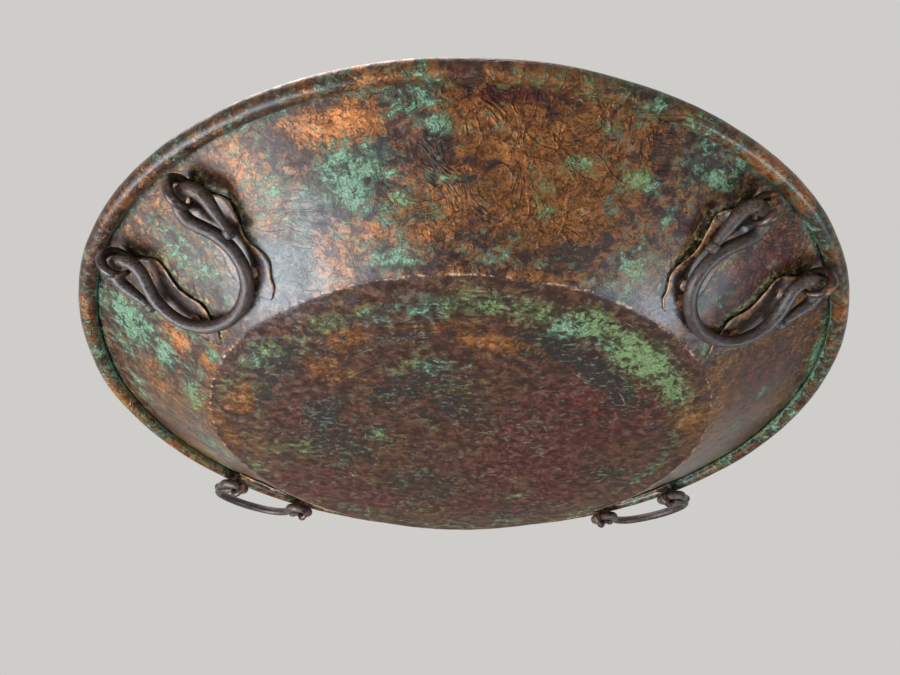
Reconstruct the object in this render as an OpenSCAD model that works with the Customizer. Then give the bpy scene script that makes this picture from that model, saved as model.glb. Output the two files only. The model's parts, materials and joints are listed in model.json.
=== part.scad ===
// Wide hammered copper bowl with a wired rim and four swinging iron bail handles.
// Each handle hangs in the eyes of two forged straps that are riveted to the wall.
// Origin: middle of the flat disc that the bowl stands on. +Z points to the open mouth.

/* [Bowl] */
// Outside diameter over the rolled rim
rim_d = 660; // [640:5:700]
// Diameter of the crease between bottom and wall
crease_d = 430; // [420:5:440]
// Height of the rolled rim's centre above the crease
rim_rise = 51; // [49:1:60]
// How far the crease stands above the disc that the bowl rests on
belly = 4; // [4:0.5:6]
// Diameter of the flat disc that the bowl rests on
foot_d = 300; // [200:10:340]
// Thickness of the copper sheet
sheet = 1.5; // [1.2:0.1:2]

/* [Rolled rim] */
// Diameter of the rolled rim
bead_d = 13; // [12:0.5:15]
// Gap all round the wire inside the roll
wire_gap = 0.05; // [0.02:0.01:0.2]
// Open seam left between the roll's free edge and the wall, as an angle of the roll
seam_angle = 47; // [44:1:60]

/* [Straps] */
// Distance between the middles of a handle's two eyes
eye_gap = 92; // [90:1:94]
// Height of the eyes along the wall, from the crease
eye_along = 97; // [95:1:99]
// Radius of an eye's centre line
eye_r = 9.6; // [9.4:0.1:10]
// Diameter of the forged bar that makes the eye
eye_bar_d = 6.8; // [6:0.1:7]
// How far round the eye is bent
eye_turn = 290; // [270:5:300]
// Thickness of the flat blade
blade_t = 2.4; // [2:0.1:2.6]
// Half width of the blade at its shoulder
shoulder_w = 17.5; // [14:0.5:20]
// Half width of the blade at its waist
waist_w = 12; // [10:0.5:14]
// Half width of the blade at its spade end
spade_w = 16; // [14:0.5:18]

/* [Rivets] */
// Diameter of a rivet's shank
rivet_d = 6; // [5:0.5:7]
// Diameter of the domed head outside
head_d = 9; // [8.5:0.5:10]
// Height of the domed head outside
head_h = 1.3; // [1:0.1:1.4]
// Height of the flattened head inside
tail_h = 1.5; // [1:0.1:2]

/* [Handles] */
// Diameter of the handle's round bar
bar_d = 9.5; // [9:0.1:10]
// Distance from the swing axis to the middle of the grip
grip_reach = 79; // [76:1:80]
// Widest distance between the bar's centre lines
bow_w = 90; // [88:1:94]
// Radius of the grip's long curve
grip_r = 56; // [54:1:60]
// Radius of the bend that passes through each eye
crown_r = 12; // [11.5:0.1:13]
// Length of the straight tail beyond the bend
tail_len = 24; // [16:1:25]
// Inward lean of the tail
tail_lean = 12; // [8:1:13]

/* [Pose] */
// Direction of the front handles, from straight out: they lie against the wall
front_swing = -156.2; // [-156.2:0.1:-90]
// Direction of the back handles, from straight out: they are swung out under the rim
back_swing = 12; // [-90:1:15]

/* [Hidden] */
$fn = 48;
ROUND = 180;

foot_r = foot_d / 2;
crease_r = crease_d / 2;
bead_r = bead_d / 2;
rim_r = rim_d / 2 - bead_r;
bead_z = belly + rim_rise;
roll_in_r = bead_r - sheet;

// The wall's inner face runs tangent into the top of the roll
wall_run = rim_r - crease_r;
wall_reach = norm([wall_run, rim_rise]);
tilt = atan2(rim_rise, wall_run) + asin(roll_in_r / wall_reach);
wall_len = sqrt(wall_reach * wall_reach - roll_in_r * roll_in_r);

// A point of the wall's section: along it from the crease, and out from its outer face
function wall_point(along, out) = [
    crease_r + along * cos(tilt) + out * sin(tilt),
    belly + along * sin(tilt) - out * cos(tilt)
];

// The bottom sweeps up from the flat disc to the crease
belly_steps = 4;
function belly_point(k, up) = [
    foot_r + (crease_r - foot_r) * k / belly_steps,
    belly * pow(k / belly_steps, 1.7) + up
];
// Where the inner faces of bottom and wall meet
inner_corner = wall_point(sheet * tan(tilt / 2), -sheet);

// A bar's arcs and straights stop just short of each other, and a ball slightly
// larger than the bar closes each joint
trim = 0.15;
ball_over = 0.05;
function trim_angle(radius) = trim / radius * 180 / PI;

// The eyes
eye_bar_r = eye_bar_d / 2;
neck_lift = 0.4;
eye_out = eye_r + eye_bar_r + neck_lift;
eye_radius = wall_point(eye_along, eye_out)[0];
eye_z = wall_point(eye_along, eye_out)[1];
eye_azimuth = asin(eye_gap / 2 / eye_radius);
axis_r = eye_radius * cos(eye_azimuth);
neck_len = 14;
neck_root_r = 2.2;
tip_turn = 55;
tip_bar_r = 0.7 * eye_bar_r;

// Stations of the blade's outline along the wall: [along, half width]
neck_at = [95, 4.6];
shoulder_at = [78, shoulder_w];
waist_at = [54, waist_w];
spade_at = [36, spade_w];
clip_at = [17, 8];
point_at = [10.5, 0];
outline_steps = 6;
band_from = 6;
band_to = 104;
prism_h = 12;
rivet_at = [77, 33];
rivet_r = rivet_d / 2;
head_r = head_d / 2;
// A flat head seats this far off the curved wall
seat = 0.03;

// The handle's half outline: two arcs, a short straight, the bend and the tail
bar_r = bar_d / 2;
bow_half = bow_w / 2;
bow_at = 43;
grip_c = grip_reach - grip_r;
bow_r = (grip_r * grip_r - bow_half * bow_half - pow(bow_at - grip_c, 2)) / (2 * (grip_r - bow_half));
bow_c = bow_half - bow_r;
crown_c = [eye_gap / 2, crown_r];
// Angles are from the direction straight away from the swing axis
grip_end = atan2(bow_c, bow_at - grip_c);
bow_centre = [bow_c, bow_at];
to_crown = crown_c - bow_centre;
bow_end = atan2(to_crown[0], to_crown[1]) - acos((bow_r + crown_r) / norm(to_crown));
tail_start = 90 - tail_lean;
tail_end_r = 3.2;
knob_r = 3.9;

FRONT_LEFT = 225;
FRONT_RIGHT = 315;
BACK_RIGHT = 45;
BACK_LEFT = 135;

// Azimuth of a strap: side is 1 for the strap met first going clockwise, 2 for the other
function strap_azimuth(centre, side) = centre + (side == 1 ? -eye_azimuth : eye_azimuth);

// Places its children on the wall: x along it from the crease, y across, z inward
module on_wall(azimuth) {
    rotate([0, 0, azimuth])
        translate([crease_r, 0, belly])
            rotate([0, -tilt, 0])
                children();
}

// ---- Copper ----

module roll_section() {
    wedge = 3 * bead_r;
    translate([rim_r, bead_z])
        difference() {
            circle(bead_r);
            circle(roll_in_r);
            polygon([
                [0, 0],
                wedge * [cos(tilt + 90.5), sin(tilt + 90.5)],
                wedge * [cos(tilt + 90 + seam_angle), sin(tilt + 90 + seam_angle)]
            ]);
        }
}

module sheet_section() {
    polygon(concat(
        [[0, 0]],
        [for (k = [0:belly_steps]) belly_point(k, 0)],
        [wall_point(wall_len, 0), wall_point(wall_len, -sheet)],
        [inner_corner],
        [for (k = [belly_steps - 1:-1:0]) belly_point(k, sheet)],
        [[0, sheet]]
    ));
}

module bowl_shell() {
    color("peru")
        difference() {
            rotate_extrude($fn = ROUND)
                union() {
                    sheet_section();
                    roll_section();
                }
            for (centre = [FRONT_LEFT, FRONT_RIGHT, BACK_RIGHT, BACK_LEFT], side = [1, 2], at = rivet_at)
                on_wall(strap_azimuth(centre, side))
                    translate([at, 0, -prism_h / 2])
                        cylinder(r = rivet_r, h = prism_h);
        }
}

module rim_wire() {
    color("dimgray")
        rotate_extrude($fn = ROUND)
            translate([rim_r, bead_z])
                circle(roll_in_r - wire_gap);
}

// ---- Iron straps ----

function eased(from, to, t) = from + (to - from) * (1 - cos(180 * t)) / 2;

function stretch(from, to) = [
    for (k = [0:outline_steps - 1])
        [
            from[0] + (to[0] - from[0]) * k / outline_steps,
            eased(from[1], to[1], k / outline_steps)
        ]
];

function half_outline() = concat(
    stretch(neck_at, shoulder_at),
    stretch(shoulder_at, waist_at),
    stretch(waist_at, spade_at),
    stretch(spade_at, clip_at),
    [clip_at, point_at]
);

module blade_outline() {
    side = half_outline();
    last = len(side) - 1;
    polygon(concat(side, [for (k = [last - 1:-1:0]) [side[k][0], -side[k][1]]]));
}

// A band of the cone that lies on the wall's outer face
module wall_band() {
    rotate_extrude($fn = ROUND)
        polygon([
            wall_point(band_from, 0),
            wall_point(band_from, blade_t),
            wall_point(band_to, blade_t),
            wall_point(band_to, 0)
        ]);
}

// Part of a round bar bent in the x-y plane, from one angle on by a turn
module bent_bar(radius, bar, from, turn) {
    rotate([0, 0, from + trim_angle(radius)])
        rotate_extrude(angle = turn - 2 * trim_angle(radius), $fn = ROUND)
            translate([radius, 0])
                circle(bar);
}

// The eye in the x-y plane: it leaves the neck at 90 degrees and ends in a thinner tip
module eye() {
    tip_at = 90 - eye_turn;
    step_at = tip_at + tip_turn;
    bent_bar(eye_r, tip_bar_r, tip_at, tip_turn);
    bent_bar(eye_r, eye_bar_r, step_at, eye_turn - tip_turn);
    translate(eye_r * [cos(tip_at), sin(tip_at)])
        sphere(tip_bar_r + ball_over);
    translate(eye_r * [cos(step_at), sin(step_at)])
        sphere(eye_bar_r + ball_over);
}

// The bar that grows out of the blade, along x and ending at the eye
module neck() {
    translate([-neck_len, 0, 0])
        rotate([0, 90, 0])
            cylinder(r1 = neck_root_r, r2 = eye_bar_r, h = neck_len - trim);
    sphere(eye_bar_r + ball_over);
}

module strap(centre, side) {
    azimuth = strap_azimuth(centre, side);
    color("dimgray")
        union() {
            difference() {
                intersection() {
                    wall_band();
                    on_wall(azimuth)
                        translate([0, 0, -prism_h])
                            linear_extrude(2 * prism_h)
                                blade_outline();
                }
                on_wall(azimuth)
                    for (at = rivet_at)
                        translate([at, 0, -prism_h / 2])
                            cylinder(r = rivet_r, h = prism_h);
            }
            on_wall(azimuth) {
                translate([eye_along, 0, -eye_out])
                    rotate([90, 0, 0])
                        eye();
                translate([eye_along, 0, -eye_bar_r - neck_lift])
                    neck();
            }
        }
}

// ---- Rivets ----

module dome(radius, height) {
    ball_r = (radius * radius + height * height) / (2 * height);
    rotate_extrude()
        intersection() {
            translate([0, height - ball_r])
                circle(ball_r, $fn = ROUND);
            square([radius, height]);
        }
}

module rivet(centre, side, at) {
    color("sienna")
        on_wall(strap_azimuth(centre, side))
            translate([at, 0, 0]) {
                translate([0, 0, -blade_t])
                    cylinder(r = rivet_r, h = blade_t + sheet + seat);
                translate([0, 0, -blade_t])
                    mirror([0, 0, 1])
                        dome(head_r, head_h);
                translate([0, 0, sheet + seat])
                    dome(head_r, tail_h);
            }
}

// ---- Handles ----

// The handle lies in the x-y plane: x away from the swing axis, y along it.
// Points are [y, x] and angles run from x towards y.
module bar_arc(centre, radius, from, turn) {
    translate([centre[1], centre[0], 0])
        bent_bar(radius, bar_r, from, turn);
}

// A round bar between two points
module bar_line(from, to, from_r, to_r) {
    step = to - from;
    translate([from[1], from[0], 0])
        rotate([0, 0, atan2(step[0], step[1])])
            translate([trim, 0, 0])
                rotate([0, 90, 0])
                    cylinder(r1 = from_r, r2 = to_r, h = norm(step) - 2 * trim);
}

module bar_ball(at, radius) {
    translate([at[1], at[0], 0])
        sphere(radius);
}

// A point at an angle from x on a circle, as [along the axis, away from it]
function on_circle(centre, radius, angle) = centre + radius * [sin(angle), cos(angle)];

module half_handle() {
    crown_start = bow_end + 180;
    grip_to = on_circle([0, grip_c], grip_r, grip_end);
    bow_to = on_circle(bow_centre, bow_r, bow_end);
    crown_from = on_circle(crown_c, crown_r, crown_start);
    tail_from = on_circle(crown_c, crown_r, tail_start);
    tail_to = tail_from + tail_len * [-sin(tail_lean), cos(tail_lean)];
    bar_arc(bow_centre, bow_r, grip_end, bow_end - grip_end);
    bar_line(bow_to, crown_from, bar_r, bar_r);
    bar_arc(crown_c, crown_r, tail_start, crown_start - tail_start);
    bar_line(tail_from, tail_to, bar_r, tail_end_r);
    for (at = [grip_to, bow_to, crown_from, tail_from])
        bar_ball(at, bar_r + ball_over);
    bar_ball(tail_to, knob_r);
}

module handle(centre, swing) {
    color("slategray")
        rotate([0, 0, centre])
            translate([axis_r, 0, eye_z])
                rotate([0, -swing, 0])
                    union() {
                        bar_arc([0, grip_c], grip_r, -grip_end, 2 * grip_end);
                        half_handle();
                        mirror([0, 1, 0])
                            half_handle();
                    }
}

bowl_shell();
rim_wire();
strap(FRONT_LEFT, 1);  // strap_front_left_1
strap(FRONT_LEFT, 2);  // strap_front_left_2
strap(FRONT_RIGHT, 1);  // strap_front_right_1
strap(FRONT_RIGHT, 2);  // strap_front_right_2
strap(BACK_RIGHT, 1);  // strap_back_right_1
strap(BACK_RIGHT, 2);  // strap_back_right_2
strap(BACK_LEFT, 1);  // strap_back_left_1
strap(BACK_LEFT, 2);  // strap_back_left_2
rivet(FRONT_LEFT, 1, rivet_at[0]);  // rivet_front_left_1_upper
rivet(FRONT_LEFT, 1, rivet_at[1]);  // rivet_front_left_1_lower
rivet(FRONT_LEFT, 2, rivet_at[0]);  // rivet_front_left_2_upper
rivet(FRONT_LEFT, 2, rivet_at[1]);  // rivet_front_left_2_lower
rivet(FRONT_RIGHT, 1, rivet_at[0]);  // rivet_front_right_1_upper
rivet(FRONT_RIGHT, 1, rivet_at[1]);  // rivet_front_right_1_lower
rivet(FRONT_RIGHT, 2, rivet_at[0]);  // rivet_front_right_2_upper
rivet(FRONT_RIGHT, 2, rivet_at[1]);  // rivet_front_right_2_lower
rivet(BACK_RIGHT, 1, rivet_at[0]);  // rivet_back_right_1_upper
rivet(BACK_RIGHT, 1, rivet_at[1]);  // rivet_back_right_1_lower
rivet(BACK_RIGHT, 2, rivet_at[0]);  // rivet_back_right_2_upper
rivet(BACK_RIGHT, 2, rivet_at[1]);  // rivet_back_right_2_lower
rivet(BACK_LEFT, 1, rivet_at[0]);  // rivet_back_left_1_upper
rivet(BACK_LEFT, 1, rivet_at[1]);  // rivet_back_left_1_lower
rivet(BACK_LEFT, 2, rivet_at[0]);  // rivet_back_left_2_upper
rivet(BACK_LEFT, 2, rivet_at[1]);  // rivet_back_left_2_lower
handle(FRONT_LEFT, front_swing);  // handle_front_left
handle(FRONT_RIGHT, front_swing);  // handle_front_right
handle(BACK_RIGHT, back_swing);  // handle_back_right
handle(BACK_LEFT, back_swing);  // handle_back_left
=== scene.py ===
import json
import math
from types import SimpleNamespace

import bpy
import numpy as np
from mathutils import Matrix, Vector
from mathutils.kdtree import KDTree


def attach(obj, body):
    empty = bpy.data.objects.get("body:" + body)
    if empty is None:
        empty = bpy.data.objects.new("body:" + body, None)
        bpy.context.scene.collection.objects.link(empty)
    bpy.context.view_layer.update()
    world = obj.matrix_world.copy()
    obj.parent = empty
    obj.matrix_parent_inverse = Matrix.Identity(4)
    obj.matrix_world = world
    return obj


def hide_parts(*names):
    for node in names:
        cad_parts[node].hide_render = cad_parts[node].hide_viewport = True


# Looks of a wide hammered copper bowl with a wired rim and four swinging iron bail handles.
# Lengths are in millimetres, as in the CAD model, and become metres when a mesh is made.

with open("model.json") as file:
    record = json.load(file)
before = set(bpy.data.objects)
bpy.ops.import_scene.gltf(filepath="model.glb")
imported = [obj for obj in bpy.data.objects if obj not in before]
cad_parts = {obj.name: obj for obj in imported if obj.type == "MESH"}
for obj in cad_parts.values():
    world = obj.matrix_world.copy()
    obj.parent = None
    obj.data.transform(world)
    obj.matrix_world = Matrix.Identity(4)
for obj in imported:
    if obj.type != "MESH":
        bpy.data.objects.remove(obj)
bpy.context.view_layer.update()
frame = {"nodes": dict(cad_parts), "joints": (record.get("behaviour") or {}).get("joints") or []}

MM = 0.001
RANDOM = np.random.default_rng(11)

# ---- Driving sizes, the same as in the CAD model ----

RIM_R = 323.5
RIM_RISE = 51
BEAD_R = 6.5
CREASE_R = 215
FOOT_R = 150
BELLY = 4
SHEET = 1.5
SEAM_ANGLE = 47

EYE_GAP = 92
EYE_ALONG = 97
EYE_R = 9.6
EYE_BAR_R = 3.4
EYE_TURN = 290
NECK_LIFT = 0.4

GRIP_REACH = 79
BOW_W = 90
BOW_AT = 43
GRIP_R = 56
CROWN_R = 12
BAR_R = 4.7
TAIL_LEN = 24
TAIL_LEAN = 12
FRONT_SWING = -156.2
BACK_SWING = 12

RIVETS_ALONG = {"upper": 77, "lower": 33}
CORNERS = {"front_left": 225, "front_right": 315, "back_right": 45, "back_left": 135}

# ---- Derived sizes ----

ROLL_IN_R = BEAD_R - SHEET
BEAD_Z = BELLY + RIM_RISE
WALL_REACH = math.hypot(RIM_R - CREASE_R, RIM_RISE)
TILT = math.atan2(RIM_RISE, RIM_R - CREASE_R) + math.asin(ROLL_IN_R / WALL_REACH)
WALL_LEN = math.sqrt(WALL_REACH**2 - ROLL_IN_R**2)
PATH_END = CREASE_R + WALL_LEN
EYE_OUT = EYE_R + EYE_BAR_R + NECK_LIFT
EYE_RADIUS = CREASE_R + EYE_ALONG * math.cos(TILT) + EYE_OUT * math.sin(TILT)
EYE_AZIMUTH = math.degrees(math.asin(EYE_GAP / 2 / EYE_RADIUS))


def strap_azimuths():
    """Each strap's corner, number and azimuth in degrees."""
    for corner, centre in CORNERS.items():
        for number, side in ((1, -1), (2, 1)):
            yield corner, number, centre + side * EYE_AZIMUTH


# ---- Small numeric helpers ----


def ease(low, high, value):
    """A smooth step from 0 to 1 as the value goes from low to high."""
    t = np.clip((np.asarray(value, float) - low) / (high - low), 0, 1)
    return t * t * (3 - 2 * t)


def lattice(cells, seed):
    """A repeatable random value from -1 to 1 for each whole-number cell."""
    h = cells[..., 0] * 127.1 + cells[..., 1] * 311.7 + cells[..., 2] * 74.7 + seed * 53.3
    return 2 * np.modf(np.abs(np.sin(h) * 43758.5453))[0] - 1


def noise3(points, size, seed):
    """Smooth noise from about -1 to 1, with features of that size in millimetres."""
    p = np.asarray(points, float) / size
    cell = np.floor(p)
    f = p - cell
    f = f * f * (3 - 2 * f)
    total = np.zeros(p.shape[:-1])
    for corner in np.ndindex(2, 2, 2):
        share = np.where(corner, f, 1 - f)
        weight = share[..., 0] * share[..., 1] * share[..., 2]
        total += weight * lattice(cell + np.array(corner), seed)
    return total


def full_turn(count):
    """Even angles round a ring, in radians."""
    return np.linspace(0, 2 * math.pi, count, endpoint=False)


def angle_gap(azimuth, centre):
    """Signed difference of angles in degrees, from -180 to 180."""
    return (azimuth - centre + 180) % 360 - 180


# ---- Mesh helpers ----


def make_object(name, points, faces, values=None):
    """A smooth-shaded mesh object from points in millimetres, with values stored at its points."""
    mesh = bpy.data.meshes.new(name)
    mesh.from_pydata((np.asarray(points) * MM).tolist(), [], faces)
    mesh.polygons.foreach_set("use_smooth", [True] * len(mesh.polygons))
    for key, column in (values or {}).items():
        attribute = mesh.attributes.new(key, "FLOAT", "POINT")
        attribute.data.foreach_set("value", np.asarray(column, np.float32))
    mesh.update()
    made = bpy.data.objects.new(name, mesh)
    bpy.context.scene.collection.objects.link(made)
    return made


def signed_volume(points, faces):
    """Volume inside the faces, which are triangles and quads; negative if they point inwards."""
    total = 0.0
    p = np.asarray(points)
    for size in (3, 4):
        part = np.array([f for f in faces if len(f) == size], int)
        if len(part):
            a = p[part[:, 0]]
            for k in range(1, size - 1):
                total += np.einsum("ij,ij->i", a, np.cross(p[part[:, k]], p[part[:, k + 1]])).sum()
    return total / 6


def outward(points, faces):
    """The faces, turned so that their normals point out of the closed surface."""
    return faces if signed_volume(points, faces) > 0 else [f[::-1] for f in faces]


def join_rings(first, second, n, m):
    """Faces from a ring of n points to one of m, by the index of each one's first point.

    The rings have the same number of points, or one has a single point or twice as many.
    """
    if n == m:
        return [(first + i, first + (i + 1) % n, second + (i + 1) % m, second + i) for i in range(n)]
    if n == 1:
        return [(first, second + (i + 1) % m, second + i) for i in range(m)]
    if m == 1:
        return [(first + i, first + (i + 1) % n, second) for i in range(n)]
    if m == 2 * n:
        faces = []
        for i in range(n):
            a0, a1 = first + i, first + (i + 1) % n
            b0, b1, b2 = second + 2 * i, second + 2 * i + 1, second + (2 * i + 2) % m
            faces += [(a0, b1, b0), (a0, a1, b1), (a1, b2, b1)]
        return faces
    return [f[::-1] for f in join_rings(second, first, m, n)]


def ring_mesh(rings):
    """Points and faces of a surface through rings, each an array of points."""
    starts = np.cumsum([0] + [len(r) for r in rings])
    faces = []
    for k in range(len(rings) - 1):
        faces += join_rings(int(starts[k]), int(starts[k + 1]), len(rings[k]), len(rings[k + 1]))
    points = np.vstack(rings)
    return points, outward(points, faces)


# ---- The copper bowl ----

FULL_RING = 448
HAMMER_SPACING = 13.5
HAMMER_DEPTH = 0.16
HAMMER_STRAY = 0.38
MOST_MARKS = 9000
FOLD_WIDTH = 4.0
FOLD_SAMPLES = 9
FOLD_REACH = 9
BELLY_POWER = 1.7
BOTTOM_STEP = 4.1
WALL_STEP = 3.05
HALVED_WITHIN = (27, 54, 104)
ROLL_INNER_RINGS = 15
ROLL_OUTER_RINGS = 29


def outer_profile(t):
    """Radius and height of the outer face at a distance t along it from the middle of the bottom."""
    t = np.asarray(t, float)
    total = np.zeros(t.shape + (2,))
    steps = np.linspace(-FOLD_WIDTH / 2, FOLD_WIDTH / 2, FOLD_SAMPLES)
    for step in steps:
        u = np.abs(t + step)
        along = np.maximum(u - CREASE_R, 0)
        lift = BELLY * np.clip((u - FOOT_R) / (CREASE_R - FOOT_R), 0, 1) ** BELLY_POWER
        radius = np.minimum(u, CREASE_R) + along * math.cos(TILT)
        total += np.stack([radius, lift + along * math.sin(TILT)], -1)
    profile = total / len(steps)
    near_middle = t < FOLD_WIDTH
    profile[..., 0] = np.where(near_middle, t, profile[..., 0])
    return profile


def inward_normal(t):
    """Unit direction into the bowl, as radius and height."""
    step = 0.5
    t = np.asarray(t, float)
    d = outer_profile(t + step) - outer_profile(np.maximum(t - step, 0))
    d /= np.linalg.norm(d, axis=-1, keepdims=True)
    return np.stack([-d[..., 1], d[..., 0]], -1)


def around(radius, height, azimuth):
    """Points at a radius, height and azimuth in radians."""
    return np.stack([radius * np.cos(azimuth), radius * np.sin(azimuth), height + 0 * azimuth], -1)


def strap_outline():
    """Stations of a strap's blade: distance along the wall and half width."""
    return np.array([(10.5, 0.2), (17, 8), (36, 16), (54, 12), (78, 17.5), (96, 3.6)])


def blade_half_width(along):
    """Half width of the strap's blade at a distance along the wall, easing between its stations."""
    stations = strap_outline()
    along = np.asarray(along, float)
    width = np.interp(along, stations[:2, 0], stations[:2, 1])
    for (s0, w0), (s1, w1) in zip(stations[1:-1], stations[2:]):
        t = np.clip((along - s0) / (s1 - s0), 0, 1)
        eased = w0 + (w1 - w0) * (1 - np.cos(np.pi * t)) / 2
        width = np.where(along >= s0, eased, width)
    return width


def strap_gap(t, azimuth):
    """Distance from the nearest strap blade's outline, negative under the blade."""
    along = t - CREASE_R
    radius = outer_profile(t)[..., 0]
    nearest = np.full(np.broadcast(t, azimuth).shape, 1e3)
    for _, _, centre in strap_azimuths():
        across = np.abs(np.radians(angle_gap(np.degrees(azimuth), centre))) * radius
        past_end = np.maximum(np.maximum(12 - along, along - 100), 0)
        gap = np.maximum(across - blade_half_width(np.clip(along, 12, 96)), 0) + past_end
        nearest = np.minimum(nearest, gap)
    return nearest


def hammer_marks():
    """Middles of the hammer marks all over the outer face, with each one's depth."""
    found = KDTree(MOST_MARKS)
    depths = []
    t = HAMMER_SPACING / 2
    while t < PATH_END:
        radius, height = outer_profile(np.array(t))
        count = max(3, int(2 * math.pi * radius / HAMMER_SPACING))
        for k in range(count):
            angle = 2 * math.pi * (k + RANDOM.uniform(-HAMMER_STRAY, HAMMER_STRAY)) / count
            shift = RANDOM.uniform(-HAMMER_STRAY, HAMMER_STRAY) * HAMMER_SPACING
            r, z = outer_profile(np.array(max(t + shift, 0)))
            found.insert(Vector((r * math.cos(angle), r * math.sin(angle), z)), len(depths))
            depths.append(RANDOM.uniform(0.3, 1))
        t += HAMMER_SPACING
    found.balance()
    return found, np.array(depths)


def hammered(points, marks):
    """How far the sheet is beaten in at each point, from about 0 at a ridge to 1 in a deep mark."""
    found, depths = marks
    beaten = np.zeros(len(points))
    for i, p in enumerate(points):
        near = found.find_n(Vector(p), 4)
        beaten[i] = max(depths[index] - (distance / HAMMER_SPACING) ** 2 * 2 for _, index, distance in near)
    return beaten


def sheet_wander(t, azimuth, points, marks):
    """Inward displacement of the sheet, by hammering, dents and old knocks."""
    calm = 0.12 + 0.88 * ease(2, 22, strap_gap(t, azimuth))
    broad = 0.65 * noise3(points, 95, 3) + 0.42 * noise3(points, 47, 4) + 0.16 * noise3(points, 23, 5)
    wall = broad + HAMMER_DEPTH * hammered(points, marks)
    bottom = 0.55 + 0.7 * broad + 0.8 * HAMMER_DEPTH * hammered(points, marks)
    on_wall = ease(CREASE_R - 25, CREASE_R + 8, t)
    rested = bottom * ease(0, 40, t) + 0.3 * (1 - ease(0, 40, t))
    return calm * (on_wall * wall + (1 - on_wall) * np.maximum(rested, 0.02))


def rim_sway(azimuth):
    """Slow in-and-out and up-and-down sway of the rim, less beside the handles."""
    ring = np.stack([np.cos(azimuth), np.sin(azimuth), 0 * azimuth], -1)
    degrees = np.degrees(azimuth)
    beside = np.ones_like(degrees)
    for centre in CORNERS.values():
        beside = np.minimum(beside, 0.25 + 0.75 * ease(9, 20, np.abs(angle_gap(degrees, centre))))
    sideways = 0.9 * noise3(ring, 0.35, 21) + 0.4 * noise3(ring, 0.12, 22)
    upward = 0.7 * noise3(ring, 0.4, 23) + 0.35 * noise3(ring, 0.15, 24)
    return beside * sideways, beside * upward


def sheet_ring(t, count, marks, inner):
    """One ring of the sheet's outer or inner face, with what its material needs to know."""
    azimuth = full_turn(count)
    radius, height = outer_profile(np.array(t))
    nr, nz = inward_normal(np.array(t))
    plain = around(radius, height, azimuth)
    move = sheet_wander(np.full(count, t), azimuth, plain, marks) + (SHEET if inner else 0)
    sideways, upward = rim_sway(azimuth)
    pull = ease(CREASE_R + 45, PATH_END, t)
    crease = 1.1 * noise3(plain, 38, 8) * math.exp(-(((t - CREASE_R) / 16) ** 2))
    radius = radius + nr * move + sideways * pull + crease
    return around(radius, height + nz * move + upward * pull, azimuth)


def roll_ring(angle, radius_in_roll, knock):
    """One ring round the roll, at an angle of its section in degrees."""
    azimuth = full_turn(FULL_RING)
    c, s = math.cos(math.radians(angle)), math.sin(math.radians(angle))
    plain = around(RIM_R + BEAD_R * c, BEAD_Z + BEAD_R * s, azimuth)
    dent = 0.16 * noise3(plain, 26, 31) + 0.13 * noise3(plain, 9, 32)
    dent += 0.22 * np.maximum(noise3(plain, 14, 33) - 0.35, 0)
    r = radius_in_roll - knock * (dent + 0.12)
    sideways, upward = rim_sway(azimuth)
    return around(RIM_R + r * c + sideways, BEAD_Z + r * s + upward, azimuth)


def path_stations():
    """Distances along the sheet at which it has rings, with each ring's number of points."""
    bottom = [(0, 1)]
    t = 4.0
    while t < CREASE_R - FOLD_REACH:
        halvings = sum(t < limit for limit in HALVED_WITHIN)
        bottom.append((t, FULL_RING >> halvings))
        t += BOTTOM_STEP
    fold = [(t, FULL_RING) for t in np.linspace(CREASE_R - FOLD_REACH, CREASE_R + FOLD_REACH, 13)]
    wall = [(t, FULL_RING) for t in np.arange(CREASE_R + 12, PATH_END - 8, WALL_STEP)]
    top = [(t, FULL_RING) for t in np.linspace(PATH_END - 7, PATH_END, 5)]
    return bottom + fold + wall + top


def blob(distance):
    """1 in the middle of a patch, falling off past a squared distance of 1."""
    return np.exp(-np.clip(distance, 0, 30) ** 1.3)


def patches(t, azimuth, places):
    """The strength of the patches at each place of the outer face."""
    radius = outer_profile(t)[..., 0]
    total = np.zeros_like(t)
    degrees = np.degrees(azimuth)
    for centre, at, half_around, half_along, strength in places:
        across = np.radians(angle_gap(degrees, centre)) * radius / half_around
        total = np.maximum(total, strength * blob(across**2 + ((t - at) / half_along) ** 2))
    return total


def on_wall(*places):
    """Patches given by their distance along the wall."""
    return [(azimuth, CREASE_R + along, *rest) for azimuth, along, *rest in places]


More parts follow.
